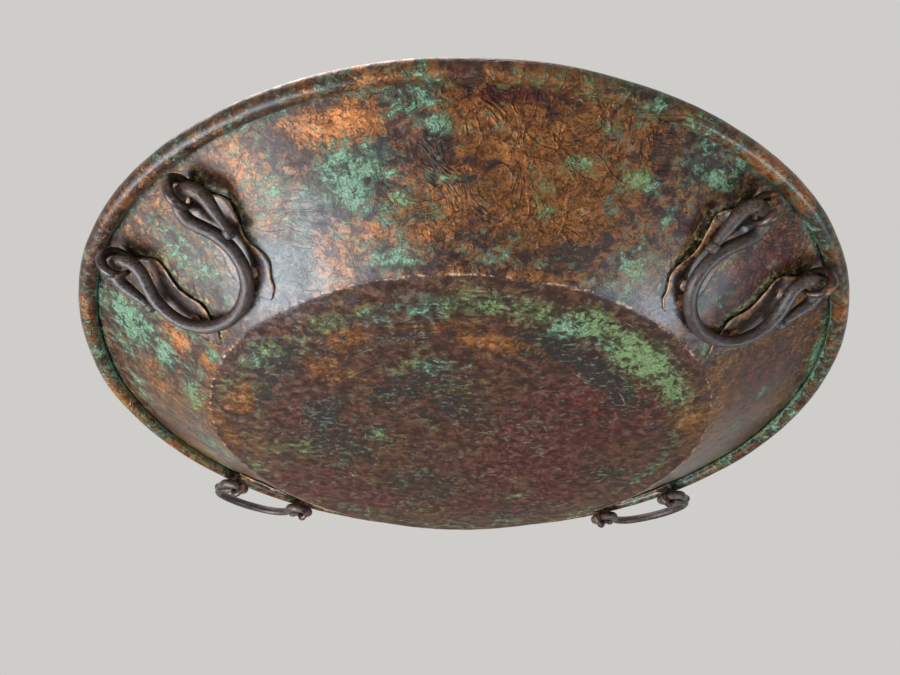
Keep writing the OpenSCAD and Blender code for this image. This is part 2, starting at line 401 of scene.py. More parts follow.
# Each patch is azimuth, place along the sheet, half width around, half width along, and strength.
# A patch on the wall gives its place from the crease, and one on the bottom gives it from the middle.
GREEN = on_wall(
    (254, 65, 32, 26, 1.0), (259, 48, 24, 14, 0.7), (263, 105, 22, 10, 0.9), (265, 93, 14, 6, 0.9),
    (266, 61, 18, 3.5, 1.0), (283, 76, 13, 6, 0.9), (291, 77, 17, 9, 1.1), (279, 57, 8, 9, 0.8),
    (280, 46, 7, 7, 0.7), (297, 62, 5, 13, 1.0), (298, 99, 24, 14, 0.85), (302, 104, 9, 13, 1.1),
    (297, 27, 23, 21, 0.8), (295, 9, 26, 10, 0.8), (258, 15, 26, 13, 0.78), (273, 13, 30, 8, 0.66),
    (243, 60, 24, 55, 0.62), (240, 22, 20, 22, 0.62), (181, 91, 38, 12, 0.9), (203, 82, 42, 30, 1.05),
    (195, 90, 22, 18, 0.8), (201, 48, 30, 15, 0.88), (193, 20, 58, 12, 0.8), (212, 30, 8, 16, 1.1),
    (211, 8, 8, 9, 1.0), (225, 62, 17, 48, 0.78), (170, 26, 28, 26, 0.74), (159, 63, 16, 26, 0.8),
    (315, 43, 10, 9, 0.7), (311, 24, 13, 14, 0.75), (322, 12, 12, 10, 0.9), (345, 110, 62, 6, 0.85),
    (349, 60, 12, 15, 0.55), (2, 45, 26, 22, 0.6), (20, 90, 34, 14, 0.8), (62, 60, 40, 20, 0.7),
    (88, 88, 46, 12, 0.85), (104, 30, 30, 22, 0.75), (122, 70, 20, 30, 0.7), (148, 96, 24, 12, 0.8),
) + [
    (313, 188, 66, 19, 1.2), (298, 190, 44, 19, 1.05), (331, 190, 34, 14, 1.0), (268, 190, 74, 14, 0.8),
    (285, 191, 34, 15, 0.9), (240, 191, 32, 11, 0.66), (219, 196, 32, 12, 0.74), (205, 201, 32, 9, 0.6),
    (256, 125, 28, 13, 0.72), (8, 190, 52, 6, 0.78), (22, 189, 32, 6, 0.74), (352, 189, 32, 6, 0.6),
    (60, 128, 16, 9, 0.6), (172, 152, 24, 24, 0.6), (192, 72, 8, 7, 0.85), (90, 201, 84, 10, 0.6),
    (122, 192, 32, 11, 0.6), (46, 205, 32, 8, 0.6), (160, 204, 40, 8, 0.62), (75, 190, 30, 8, 0.5),
]
TARNISH_AND_SHADOW = on_wall(
    (265, 78, 15, 17, 1.0), (259, 80, 15, 9, 0.85), (285, 21, 26, 15, 0.95), (272, 26, 30, 10, 0.78),
    (270, 60, 13, 11, 0.62), (262, 38, 18, 9, 0.6), (300, 12, 13, 9, 0.7), (190, 55, 22, 13, 0.6),
    # The two thin patches under the roll at 205 and 166 degrees are painted shadow, not tarnish.
    (197, 40, 14, 11, 0.7), (236, 96, 10, 16, 0.7), (205, 117, 70, 4, 0.9), (166, 114, 60, 5, 0.8),
    (30, 60, 50, 22, 0.6), (76, 30, 50, 16, 0.7), (110, 90, 36, 20, 0.7), (140, 20, 40, 16, 0.6),
) + [
    (313, 153, 78, 15, 1.2), (293, 163, 46, 12, 1.05), (220, 180, 54, 19, 0.95), (205, 171, 42, 15, 0.7),
    (245, 98, 50, 28, 0.95), (175, 108, 54, 62, 0.8), (110, 100, 56, 52, 0.78), (20, 143, 24, 50, 0.8),
    (255, 161, 34, 9, 0.75), (262, 62, 42, 32, 0.9), (330, 110, 34, 26, 0.6), (70, 165, 60, 24, 0.7),
    (205, 120, 40, 26, 0.8),
]
RED = on_wall(
    (273, 108, 44, 7, 0.9), (170, 100, 46, 15, 0.75), (300, 60, 7, 13, 0.7), (316, 70, 30, 44, 0.95),
    (247, 113, 24, 5, 0.6), (345, 60, 80, 50, 0.85), (10, 55, 90, 50, 0.8), (95, 55, 80, 40, 0.5),
) + [
    (32, 85, 62, 52, 1.0), (335, 127, 66, 62, 0.85), (148, 178, 34, 60, 0.95), (128, 150, 44, 30, 0.75),
    (50, 150, 64, 34, 0.7), (350, 60, 66, 54, 0.6), (75, 135, 56, 34, 0.6), (195, 150, 30, 24, 0.4),
]
BRIGHT = on_wall(
    (254.5, 98, 28, 11, 1.0), (207.5, 39, 13, 13, 1.1), (208, 88, 9, 7, 0.85), (189, 58, 28, 10, 0.75),
    (260, 34, 42, 14, 0.5), (241, 82, 17, 32, 0.62), (275, 30, 20, 8, 0.6), (283, 48, 36, 26, 0.5),
    (276, 80, 40, 20, 0.45), (215, 14, 14, 7, 0.6), (208, 10, 8, 8, 0.8), (50, 20, 30, 14, 0.6),
) + [
    (280, 152, 44, 9, 0.95), (262, 166, 32, 9, 0.6), (225, 150, 24, 28, 0.55), (200, 191, 34, 13, 0.65),
    (346, 199, 26, 20, 0.75), (240, 171, 24, 15, 0.6), (0, 206, 34, 8, 0.55), (182, 206, 34, 8, 0.5),
]
# Smoother grey patches placed where a pale window sheen shows: their grey is a painted sheen, and they are
# also glossier.
PAINTED_SHEEN = on_wall(
    (237, 22, 44, 34, 1.0), (247, 50, 26, 26, 0.7), (305, 12, 26, 15, 0.95), (318, 8, 14, 10, 0.8),
)


def outer_values(t, azimuth):
    """The patina masks of the outer face, with painted shade along the straps, painted shadow under the
    roll and a painted sheen.
    """
    gap = strap_gap(t, azimuth)
    near_seam = ease(PATH_END - 12, PATH_END - 2, t)
    return {
        "green": patches(t, azimuth, GREEN) + 0.75 * near_seam,
        "dark": np.maximum(patches(t, azimuth, TARNISH_AND_SHADOW), 0.9 * near_seam),
        "red": patches(t, azimuth, RED),
        "bright": patches(t, azimuth, BRIGHT),
        # Dirt round the straps, dark at their outline as painted shade.
        "grime": np.exp(-((gap / 7.0) ** 2)) * (t > CREASE_R),
        # Grey patches whose colour is a painted sheen.
        "haze": patches(t, azimuth, PAINTED_SHEEN),
        "inside": np.zeros_like(t),
    }


def inner_values(t, azimuth, points):
    """The patina masks of the inner face, which is plainer."""
    fold = np.exp(-(((t - CREASE_R) / 14) ** 2))
    return {
        "green": 0.5 * fold + 0.55 * ease(0.15, 0.8, noise3(points, 120, 61)),
        "dark": 0.5 * fold + 0.6 * ease(0.0, 0.9, noise3(points, 90, 62)),
        "red": 0.1 + 0.5 * ease(-0.2, 0.7, noise3(points, 140, 63)),
        "bright": 0.55 * ease(0.2, 0.9, noise3(points, 70, 64)),
        "grime": np.zeros_like(t),
        "haze": np.zeros_like(t),
        "inside": np.ones_like(t),
    }


def roll_values(angle, azimuth):
    """The patina masks of the roll; its free edge and the seam are dark and green."""
    ring = np.stack([np.cos(azimuth) * RIM_R, np.sin(azimuth) * RIM_R, 0 * azimuth + angle / 9], -1)
    edge = math.exp(-(((angle + 188) / 26) ** 2))
    # Less verdigris towards azimuth 215: partly bare copper, partly a painted highlight on the lit side of
    # the roll.
    left = np.exp(-((angle_gap(np.degrees(azimuth), 215) / 55) ** 2))
    return {
        "green": 0.85 * edge + 0.42 - 0.24 * left + 0.36 * ease(-0.1, 0.7, noise3(ring, 45, 71)),
        "dark": 0.7 * edge + 0.25 + 0.5 * ease(0, 0.8, noise3(ring, 80, 72)),
        "red": 0.6 * ease(-0.2, 0.8, noise3(ring, 100, 73)),
        "bright": 0.15 + 0.75 * ease(-0.1, 0.6, noise3(ring, 60, 74)) * (1 - edge),
        "grime": np.full_like(azimuth, 0.5 * edge),
        "haze": np.zeros_like(azimuth),
        "inside": np.zeros_like(azimuth),
    }


def copper_bowl():
    """The whole sheet as one closed surface: outer face, roll round the wire, and inner face."""
    marks = hammer_marks()
    stations = path_stations()
    rings, columns = [], []

    def add(ring, values):
        rings.append(ring)
        columns.append(values)

    for t, count in stations:
        add(sheet_ring(t, count, marks, False), outer_values(np.full(count, t), full_turn(count)))
    start, end = math.degrees(TILT) + 90, math.degrees(TILT) + 90 + SEAM_ANGLE - 360
    for angle in np.linspace(start, end, ROLL_INNER_RINGS)[1:]:
        add(roll_ring(angle, ROLL_IN_R, 0.3), roll_values(end, full_turn(FULL_RING)))
    add(roll_ring(end - 2.5, (ROLL_IN_R + BEAD_R) / 2, 0.4), roll_values(end, full_turn(FULL_RING)))
    for angle in np.linspace(end, start, ROLL_OUTER_RINGS):
        add(roll_ring(angle, BEAD_R, 1.0), roll_values(angle, full_turn(FULL_RING)))
    for t, count in reversed(stations[:-1]):
        ring = sheet_ring(t, count, marks, True)
        add(ring, inner_values(np.full(count, t), full_turn(count), ring))
    points, faces = ring_mesh(rings)
    values = {key: np.concatenate([c[key] for c in columns]) for key in columns[0]}
    return make_object("copper_bowl", points, faces, values)


# ---- Iron straps and rivets ----

SECTION_POINTS = 32
BLADE_HALF_T = 0.85
DISH = 0.9


def wall_frame(azimuth, along, across, out):
    """Points by the wall: its azimuth, then along from the crease, across, and out from the outer face."""
    radius = CREASE_R + along * math.cos(TILT) + out * math.sin(TILT)
    height = BELLY + along * math.sin(TILT) - out * math.cos(TILT)
    angle = math.radians(azimuth) + across / (CREASE_R + along * math.cos(TILT))
    return np.stack([radius * np.cos(angle), radius * np.sin(angle), height], -1)


def strap_path():
    """Stations of the strap: place along, out, direction, half width, half thickness, squareness, dish."""
    stations = []
    for s in np.concatenate([np.linspace(10.6, 20, 9), np.linspace(21.5, 96, 52)]):
        into_bar = float(ease(82, 96, s))
        out = BLADE_HALF_T + 0.05 + (EYE_BAR_R + NECK_LIFT - BLADE_HALF_T - 0.05) * into_bar
        width = float(blade_half_width(s))
        thick = BLADE_HALF_T + (EYE_BAR_R - BLADE_HALF_T) * into_bar
        dish = DISH * float(ease(13, 26, s)) * (1 - float(ease(74, 88, s)))
        stations.append((s, out, 0.0, max(width, 0.3), thick, 12 - 10 * into_bar, dish))
    for angle in np.linspace(3, EYE_TURN, 62):
        a = math.radians(angle)
        bar = EYE_BAR_R - 1.7 * float(ease(190, EYE_TURN, angle))
        along, out = EYE_ALONG + EYE_R * math.sin(a), EYE_OUT - EYE_R * math.cos(a)
        stations.append((along, out, a, bar, bar, 2.0, 0.0))
    tip = stations[-1]
    for share, size in ((0.6, 0.82), (1.0, 0.45)):
        a = tip[2] + share * tip[3] / EYE_R
        along, out = EYE_ALONG + EYE_R * math.sin(a), EYE_OUT - EYE_R * math.cos(a)
        stations.append((along, out, a, tip[3] * size, tip[4] * size, 2.0, 0.0))
    return stations


def strap(corner, number, azimuth, seed):
    """One strap: a dished, forged blade drawn out to a bar that curls into the eye."""
    theta = full_turn(SECTION_POINTS)
    x = np.cos(theta)
    side = np.sign(np.sin(theta))
    rings, edges, rusts = [], [], []
    for along, out, angle, width, thick, square, dish in strap_path():
        here = np.array([along, 0.0, 7.0 * seed])
        ragged = 0.25 * float(noise3(here, 4, 42)) * (width > 6)
        width_here = width * (1 + 0.035 * float(noise3(here, 9, 41))) + ragged
        lean = 0.9 * float(noise3(here, 24, 43)) * (angle == 0) * float(ease(92, 70, along))
        height = side * thick * np.sqrt(np.maximum(1 - np.abs(x) ** square, 0))
        section = np.stack([x * 0 + along, x, x * 0 + seed], -1)
        height = height + dish * np.abs(x) ** 2.6 * (1 + 0.25 * noise3(section, 7, 44))
        place_along = along - height * math.sin(angle)
        place_out = out + height * math.cos(angle)
        ring = wall_frame(azimuth, place_along, width_here * x + lean, place_out)
        flat = float(angle == 0) * float(1 - ease(84, 94, along))
        rings.append(ring)
        edges.append(flat * np.abs(x) ** 5 + (1 - flat) * 0.15)
        rust = [np.exp(-(((along - at) ** 2 + (width * x) ** 2) / 7.5**2)) for at in RIVETS_ALONG.values()]
        rusts.append(flat * np.max(rust, axis=0))
    middle_first, middle_last = rings[0].mean(0, keepdims=True), rings[-1].mean(0, keepdims=True)
    rings = [middle_first] + rings + [middle_last]
    edges = [np.array([1.0])] + edges + [np.array([0.2])]
    rusts = [np.array([0.3])] + rusts + [np.array([0.0])]
    points, faces = ring_mesh(rings)
    radial = np.array([math.cos(math.radians(azimuth)), math.sin(math.radians(azimuth)), 0.0])
    pitting = 0.07 * noise3(points, 5, 45 + seed) + 0.04 * noise3(points, 2.4, 46)
    points = points + np.outer(pitting, -radial * 0.6)
    values = {"edge": np.concatenate(edges), "rust": np.concatenate(rusts)}
    return make_object(f"strap_{corner}_{number}_forged", points, faces, values)


HEAD_R = 4.6
SHANK_R = 3.0
RIVET_SIDES = 28


def rivet(corner, number, azimuth, where, seed):
    """One rivet: hammered dome outside, shank, and flattened head inside."""
    profile = [
        (0.0, 3.75), (1.2, 3.7), (2.3, 3.45), (3.2, 3.05), (3.9, 2.5), (4.4, 1.95), (4.55, 1.5), (4.3, 1.2),
        (SHANK_R, 1.0), (SHANK_R, -1.3), (4.0, -1.42), (HEAD_R, -1.62), (4.5, -2.05), (3.9, -2.5),
        (2.8, -2.8), (1.4, -2.92), (0.0, -2.95),
    ]
    angles = full_turn(RIVET_SIDES)
    at = RIVETS_ALONG[where]
    rings = []
    for radius, out in profile:
        if radius == 0:
            rings.append(wall_frame(azimuth, np.array([at]), np.array([0.0]), np.array([out])))
            continue
        ring = np.stack([np.cos(angles), np.sin(angles), 0 * angles + out / 6], -1)
        uneven = 1 + (0.075 * noise3(ring, 0.8, 51 + seed) if radius > SHANK_R or abs(out) > 1.4 else 0)
        lump = 0.16 * noise3(ring * radius, 1.6, 80 + seed)
        along, across = at + radius * uneven * np.cos(angles), radius * uneven * np.sin(angles)
        rings.append(wall_frame(azimuth, along, across, out + lump))
    points, faces = ring_mesh(rings)
    return make_object(f"rivet_{corner}_{number}_{where}_hammered", points, faces)


# ---- Handles ----

BAR_SIDES = 26
TAIL_R = 3.35
KNOB_R = 4.25
KNOB_LEN = 6.6
RUBBED_PAST_CROWN = 12


def arc(centre, radius, start, turn, step=3.0):
    """Points on an arc of the handle's half outline, as along the swing axis and away from it."""
    count = max(2, int(abs(turn) / step))
    angle = np.radians(start + turn * np.arange(count) / count)
    return np.stack([centre[0] + radius * np.sin(angle), centre[1] + radius * np.cos(angle)], -1)


def straight(start, end, step=2.0):
    """Points on a straight stretch of the outline, without its end."""
    count = max(2, int(np.linalg.norm(end - start) / step))
    return start + (end - start) * (np.arange(count) / count)[:, None]


def half_outline():
    """The bar's centre line from the middle of the grip to the tail's end."""
    half = BOW_W / 2
    grip_c = GRIP_REACH - GRIP_R
    bow_r = (GRIP_R**2 - half**2 - (BOW_AT - grip_c) ** 2) / (2 * (GRIP_R - half))
    bow = np.array([half - bow_r, BOW_AT])
    crown = np.array([EYE_GAP / 2, CROWN_R])
    grip_end = math.degrees(math.atan2(bow[0], BOW_AT - grip_c))
    to_crown = crown - bow
    bow_end = math.degrees(math.atan2(to_crown[0], to_crown[1])) - math.degrees(
        math.acos((bow_r + CROWN_R) / np.linalg.norm(to_crown))
    )
    tail_start = 90 - TAIL_LEAN
    crown_start = bow_end + 180
    bow_exit = arc(bow, bow_r, bow_end, 1)[0]
    crown_entry = arc(crown, CROWN_R, crown_start, 1)[0]
    tail_from = arc(crown, CROWN_R, tail_start, 1)[0]
    lean = math.radians(TAIL_LEAN)
    tail_to = tail_from + (TAIL_LEN + 3) * np.array([-math.sin(lean), math.cos(lean)])
    return np.vstack([
        arc((0, grip_c), GRIP_R, 0, grip_end, 1.6),
        arc(bow, bow_r, grip_end, bow_end - grip_end, 2.2),
        straight(bow_exit, crown_entry),
        arc(crown, CROWN_R, crown_start, tail_start - crown_start, 5.0),
        straight(tail_from, tail_to, 0.9),
        tail_to[None],
    ])


def bar_radius(from_end):
    """Radius of the bar at a distance from its end: knob, groove, tapered tail, then full bar."""
    full = TAIL_R + (BAR_R - TAIL_R) * ease(8, 30, from_end)
    knob = KNOB_R * np.sqrt(np.clip(1 - (1 - np.clip(from_end / 2.6, 0, 1)) ** 2, 0.05, 1))
    groove = 0.35 * np.exp(-(((from_end - 7.4) / 0.9) ** 2))
    return np.where(from_end < KNOB_LEN, knob, full - groove)


def handle(corner, centre, swing, seed):
    """One bail handle, swept along its outline in the plane that holds the swing axis."""
    half = half_outline()
    line = np.vstack([(half * [-1, 1])[:0:-1], half])
    steps = np.linalg.norm(np.diff(line, axis=0), axis=1)
    length = np.concatenate([[0], np.cumsum(steps)])
    from_end = np.minimum(length, length[-1] - length)
    tangent = np.gradient(line, length, axis=0)
    tangent /= np.linalg.norm(tangent, axis=1, keepdims=True)
    normal = np.stack([-tangent[:, 1], tangent[:, 0]], -1)
    origin = Vector(next(j["pos_m"] for j in frame["joints"] if j["name"] == f"swing_{corner}"))
    origin = np.array(origin) / MM
    a, w = math.radians(centre), math.radians(swing)
    radial = np.array([math.cos(a), math.sin(a), 0])
    away = math.cos(w) * radial + math.sin(w) * np.array([0, 0, 1])
    axis = np.array([-math.sin(a), math.cos(a), 0])
    up = np.cross(away, axis)
    theta = full_turn(BAR_SIDES)
    rings, rubbed = [], []
    crown_reach = CROWN_R + RUBBED_PAST_CROWN
    for k, (u, v) in enumerate(line):
        spot = np.array([length[k], 11.0 * seed, 0])
        radius = float(bar_radius(from_end[k])) * (1 + 0.018 * float(noise3(spot, 17, 91)))
        in_plane = radius * np.cos(theta) * (1 + 0.02 * float(noise3(spot, 12, 92)))
        off_plane = radius * np.sin(theta)
        away_part = v + in_plane * normal[k, 1]
        along_part = u + in_plane * normal[k, 0]
        ring = origin + np.outer(away_part, away) + np.outer(along_part, axis) + np.outer(off_plane, up)
        rings.append(ring)
        rubbed.append(np.full(len(theta), float(1 - ease(4, crown_reach, v))))
    rings = [rings[0].mean(0, keepdims=True)] + rings + [rings[-1].mean(0, keepdims=True)]
    rubbed = [rubbed[0][:1]] + rubbed + [rubbed[-1][:1]]
    points, faces = ring_mesh(rings)
    middle = np.vstack([np.repeat(r.mean(0, keepdims=True), len(r), 0) for r in rings])
    out = points - middle
    out /= np.maximum(np.linalg.norm(out, axis=1, keepdims=True), 1e-6)
    points = points + out * (0.05 * noise3(points, 4.5, 95) + 0.07 * noise3(points, 11, 96) - 0.03)[:, None]
    return make_object(f"handle_{corner}_forged", points, faces, {"rubbed": np.concatenate(rubbed)})


# ---- Materials ----


class Shader:
    """A small builder for a node material. Sizes of patterns are in features per metre."""

    def __init__(self, name):
        self.material = bpy.data.materials.new(name)
        self.material.use_nodes = True
        self.nodes = self.material.node_tree.nodes
        self.links = self.material.node_tree.links
        self.nodes.clear()
        self.surface = self.nodes.new("ShaderNodeBsdfPrincipled")
        output = self.nodes.new("ShaderNodeOutputMaterial")
        self.links.new(self.surface.outputs[0], output.inputs[0])
        self.place = self.nodes.new("ShaderNodeTexCoord").outputs["Object"]

    def put(self, socket, value):
        """Links another node's output to the socket, or sets it to a number or colour."""
        if isinstance(value, bpy.types.NodeSocket):
            self.links.new(value, socket)
        elif isinstance(value, tuple) and len(value) == 3 and socket.type == "RGBA":
            socket.default_value = (*value, 1)
        else:
            socket.default_value = value

    def node(self, kind, values=None, **settings):
        """A new node with those settings, and with values or links on its inputs."""
        made = self.nodes.new(f"ShaderNode{kind}")
        for key, setting in settings.items():
            setattr(made, key, setting)
        for key, value in (values or {}).items():
            self.put(made.inputs[key], value)
        return made

    def math(self, operation, a, b=0.0, clamp=False):
        return self.node("Math", {0: a, 1: b}, operation=operation, use_clamp=clamp).outputs[0]

    def add(self, *values):
        total = values[0]
        for value in values[1:]:
            total = self.math("ADD", total, value)
        return total

    def times(self, a, b):
        return self.math("MULTIPLY", a, b)

    def swing(self, noise, gain):
        """A noise moved to lie around zero, times a gain."""
        return self.times(self.add(noise, -0.5), gain)

    def less(self, value):
        """One minus the value."""
        return self.math("SUBTRACT", 1.0, value, clamp=True)

    def noise(self, scale, detail=4.0, rough=0.55, warp=0.0, place=None):
        values = {"Vector": place or self.place, "Scale": scale, "Detail": detail}
        values.update({"Roughness": rough, "Distortion": warp})
        return self.node("TexNoise", values).outputs["Fac"]

    def cells(self, scale, place):
        """Distance from the middle of the nearest cell, with soft borders."""
        values = {"Vector": place, "Scale": scale}
        return self.node("TexVoronoi", values, feature="SMOOTH_F1").outputs["Distance"]

    def ramp(self, value, low, high, to_low=0.0, to_high=1.0):
        """A smooth step from to_low to to_high as the value goes from low to high."""
        values = {"Value": value, "From Min": low, "From Max": high, "To Min": to_low, "To Max": to_high}
        return self.node("MapRange", values, interpolation_type="SMOOTHSTEP").outputs[0]

    def mix(self, factor, a, b, kind="RGBA"):
        """A colour between a and b, or a number if the kind is FLOAT."""
        return self.node("Mix", {"Factor": factor, "A": a, "B": b}, data_type=kind).outputs["Result"]

    def value_of(self, name):
        """A value stored at the mesh's points."""
        return self.node("Attribute", attribute_name=name).outputs["Fac"]

    def scaled(self, x, y, z):
        return self.node("VectorMath", {0: self.place, 1: (x, y, z)}, operation="MULTIPLY").outputs[0]

    def bent(self, scale, amount):
        """Places pushed about by up to that many metres, which breaks up even patterns."""
        noise = self.node("TexNoise", {"Vector": self.place, "Scale": scale, "Detail": 3})
        values = {0: noise.outputs["Color"], 1: (amount, amount, amount), 2: self.place}
        return self.node("VectorMath", values, operation="MULTIPLY_ADD").outputs[0]

    def polar(self, around_it, along_it):
        """Places on a round piece: features per radian around, and per metre of radius."""
        x, y, _ = self.node("SeparateXYZ", {0: self.place}).outputs
        radius = self.math("SQRT", self.add(self.times(x, x), self.times(y, y)))
        joined = self.node("CombineXYZ", {
            0: self.times(self.math("DIVIDE", x, radius), around_it),
            1: self.times(self.math("DIVIDE", y, radius), around_it),
            2: self.times(radius, along_it),
        })
        return joined.outputs[0], radius

    def bump(self, *layers):
        """Bump from (height, depth in metres) layers, each laid over the one before."""
        below = {}
        for height, depth in layers:
            node = self.node("Bump", {"Strength": 1.0, "Distance": depth, "Height": height, **below})
            below = {"Normal": node.outputs[0]}
        self.put(self.surface.inputs["Normal"], below["Normal"])

    def finish(self, colour, metallic, roughness):
        """Sets the surface and gives back the material."""
        for key, value in (("Base Color", colour), ("Metallic", metallic), ("Roughness", roughness)):
            self.put(self.surface.inputs[key], value)
        return self.material


MASKS = ("green", "dark", "red", "bright", "grime", "haze", "inside")


def copper_patterns(m):
    """The noises and masks that the layers of the copper share."""
    bent, creased = m.bent(30, 0.018), m.bent(110, 0.008)
    streak_place, radius = m.polar(20, 330)
    turned_place, _ = m.polar(3.2, 800)
    wall_place, _ = m.polar(20, 200)
    p = SimpleNamespace(radius=radius, creased=creased, **{name: m.value_of(name) for name in MASKS})
    p.broad = m.noise(12, 3, 0.5, 0.5)
    p.middle = m.noise(40, 6, 0.62, 0.4, bent)
    p.grain = m.noise(125, 7, 0.66, 0.3, bent)
    p.speck = m.noise(270, 4, 0.7, 0.2, creased)
    p.fine = m.noise(700, 5, 0.7)
    p.streaks = m.noise(1.0, 5, 0.68, 0.6, streak_place)
    p.turned = m.noise(1.0, 4, 0.6, 0.3, turned_place)
    drift = m.noise(1.0, 5, 0.65, 1.3, wall_place)
    p.on_bottom = m.less(m.ramp(radius, CREASE_R * MM - 0.002, CREASE_R * MM + 0.001))
    p.lines = m.mix(p.on_bottom, drift, p.streaks, "FLOAT")
    return p


def copper_metal(m, p):
    """Mottled brown, orange and plum metal: its colour, how bare it is, and where it is rubbed bright."""
    mottle = m.add(m.times(p.broad, 0.25), m.times(p.middle, 0.35), m.times(p.grain, 0.4))
    orange = m.mix(m.ramp(p.speck, 0.38, 0.6), (0.077, 0.025, 0.006), (0.259, 0.095, 0.025))
    brown = m.mix(m.ramp(p.grain, 0.4, 0.62), (0.025, 0.008, 0.004), (0.098, 0.034, 0.015))
    bare = m.add(mottle, m.times(p.bright, 0.15), m.times(p.on_bottom, -0.055), m.times(p.inside, 0.03))
    bare = m.ramp(bare, 0.468, 0.535)
    colour = m.mix(bare, brown, orange)
    plum = m.mix(m.ramp(p.grain, 0.4, 0.62), (0.025, 0.004, 0.003), (0.119, 0.021, 0.014))
    reddened = m.ramp(m.add(p.red, m.swing(p.middle, 2.0), m.times(p.on_bottom, 0.2)), 0.35, 0.75)
    colour = m.mix(m.times(reddened, 0.9), colour, plum)
    bloom = m.ramp(m.add(p.grain, m.times(p.lines, 0.7)), 0.87, 1.0)
    bloom = m.times(bloom, m.ramp(p.on_bottom, 0, 1, 0.15, 0.4))
    colour = m.mix(bloom, colour, (0.105, 0.063, 0.06))
    glow = m.add(p.bright, m.swing(p.grain, 2.8), m.swing(p.lines, 1.4))
    colour = m.mix(m.times(m.ramp(glow, 0.6, 0.9), 0.7), colour, (0.42, 0.147, 0.042))
    return colour, bare, glow


def copper_soot_and_shadow(m, p, colour):
    """Black tarnish, with painted shadow under the roll: the colour with it, and how much there is."""
    soot_noise = m.add(
        m.swing(p.speck, 3.2),
        m.swing(p.middle, 1.8),
        m.swing(p.lines, 1.8),
    )
    soot_and_shadow = m.ramp(m.add(p.dark, soot_noise), 0.58, 0.82)
    soot_and_shadow = m.math("MAXIMUM", soot_and_shadow, m.times(m.ramp(p.speck, 0.57, 0.63), 0.8), clamp=True)
    soot_and_shadow = m.times(soot_and_shadow, m.ramp(p.inside, 0, 1, 1, 0.5))
    colour = m.mix(m.times(soot_and_shadow, 0.9), colour, (0.008, 0.007, 0.006))
    return colour, soot_and_shadow


def copper_verdigris(m, p, colour):
    """Green film, thicker crust and pale flecks: the colour with them, and how much film and crust."""
    crust_noise = m.add(
        m.swing(p.middle, 1.9),
        m.swing(p.grain, 2.4),
        m.swing(p.speck, -2.0),
        m.swing(p.lines, 2.0),
    )
    greened = m.add(p.green, crust_noise)
    film = m.times(m.ramp(greened, 0.32, 0.62), m.ramp(p.speck, 0.35, 0.6, 0.78, 0.4))
    crust = m.ramp(greened, 0.74, 0.94)
    yellowish = m.ramp(m.add(p.broad, m.times(p.on_bottom, 0.14)), 0.52, 0.6)
    teal = m.mix(m.ramp(p.grain, 0.4, 0.62), (0.017, 0.042, 0.027), (0.063, 0.133, 0.084))
    mint = m.mix(m.ramp(p.fine, 0.42, 0.6), (0.063, 0.14, 0.081), (0.189, 0.315, 0.196))
    moss = m.mix(m.ramp(p.grain, 0.4, 0.62), (0.034, 0.042, 0.014), (0.105, 0.133, 0.048))
    olive = m.mix(m.ramp(p.fine, 0.4, 0.6), (0.07, 0.105, 0.034), (0.182, 0.252, 0.105))
    colour = m.mix(film, colour, m.mix(yellowish, teal, moss))
    colour = m.mix(m.times(crust, 0.88), colour, m.mix(yellowish, mint, olive))
    fleck_noise = m.noise(300, 3, 0.6, 0.3, m.scaled(0.5, 1, 1))
    in_groups = m.ramp(m.add(p.middle, m.times(p.dark, 0.12)), 0.48, 0.58)
    flecks = m.times(m.ramp(fleck_noise, 0.59, 0.64), in_groups)
    colour = m.mix(m.times(flecks, m.ramp(p.on_bottom, 0, 1, 0.35, 0.5)), colour, (0.168, 0.182, 0.126))
    return colour, film, crust


def copper_dirt_and_shade(m, p, colour):
    """Fine dark cracks, and yellow dirt round the straps that turns to painted shade at their outline: the
    colour with them, and the cracks.
    """
    thread = m.math("ABSOLUTE", m.add(m.noise(50, 5, 0.68, 1.2, p.creased), -0.5))
    cracks = m.times(m.less(m.ramp(thread, 0.003, 0.016)), m.ramp(p.grain, 0.36, 0.5))
    colour = m.mix(m.times(cracks, m.ramp(p.inside, 0, 1, 0.8, 0.25)), colour, (0.011, 0.008, 0.007))
    # Next to the strap outline the dirt goes dark: that dark band is painted shade.
    dirt = m.ramp(m.add(p.grime, m.swing(p.grain, 1.6)), 0.3, 0.6)
    yellow = m.ramp(m.add(p.speck, m.times(p.grime, -0.16)), 0.36, 0.5)
    dirt_and_shade_colour = m.mix(yellow, (0.014, 0.011, 0.006), (0.21, 0.175, 0.059))
    colour = m.mix(m.times(dirt, 0.9), colour, dirt_and_shade_colour)
    return colour, cracks


def copper_scuffs(m, p, colour):
    """Bare metal along the crease and in scratches on the bottom."""
    crease_line = m.math("ABSOLUTE", m.add(p.radius, -CREASE_R * MM - 0.0004, m.swing(p.middle, 0.005)))
    worn_crease = m.less(m.ramp(crease_line, 0.0003, 0.0012))
    worn_crease = m.times(worn_crease, m.ramp(m.add(p.grain, p.lines), 1.0, 1.1))
    worn_crease = m.times(worn_crease, m.less(p.inside))
    scratches = m.times(m.ramp(p.turned, 0.66, 0.7), m.times(p.on_bottom, m.ramp(p.middle, 0.42, 0.56)))
    scuffs = m.math("MAXIMUM", m.times(worn_crease, 0.8), m.times(scratches, 0.6), clamp=True)
    return m.mix(scuffs, colour, (0.448, 0.308, 0.196))


def copper_painted_sheen(m, p, colour):
    """A painted grey sheen on smoother patches: the colour with it, and how much there is."""
    painted_sheen_noise = m.add(m.swing(p.grain, 1.8), m.swing(p.middle, 1.8))
    haze = m.ramp(m.add(p.haze, painted_sheen_noise), 0.3, 0.95)
    colour = m.mix(m.times(haze, 0.55), colour, (0.105, 0.115, 0.12))
    return colour, haze


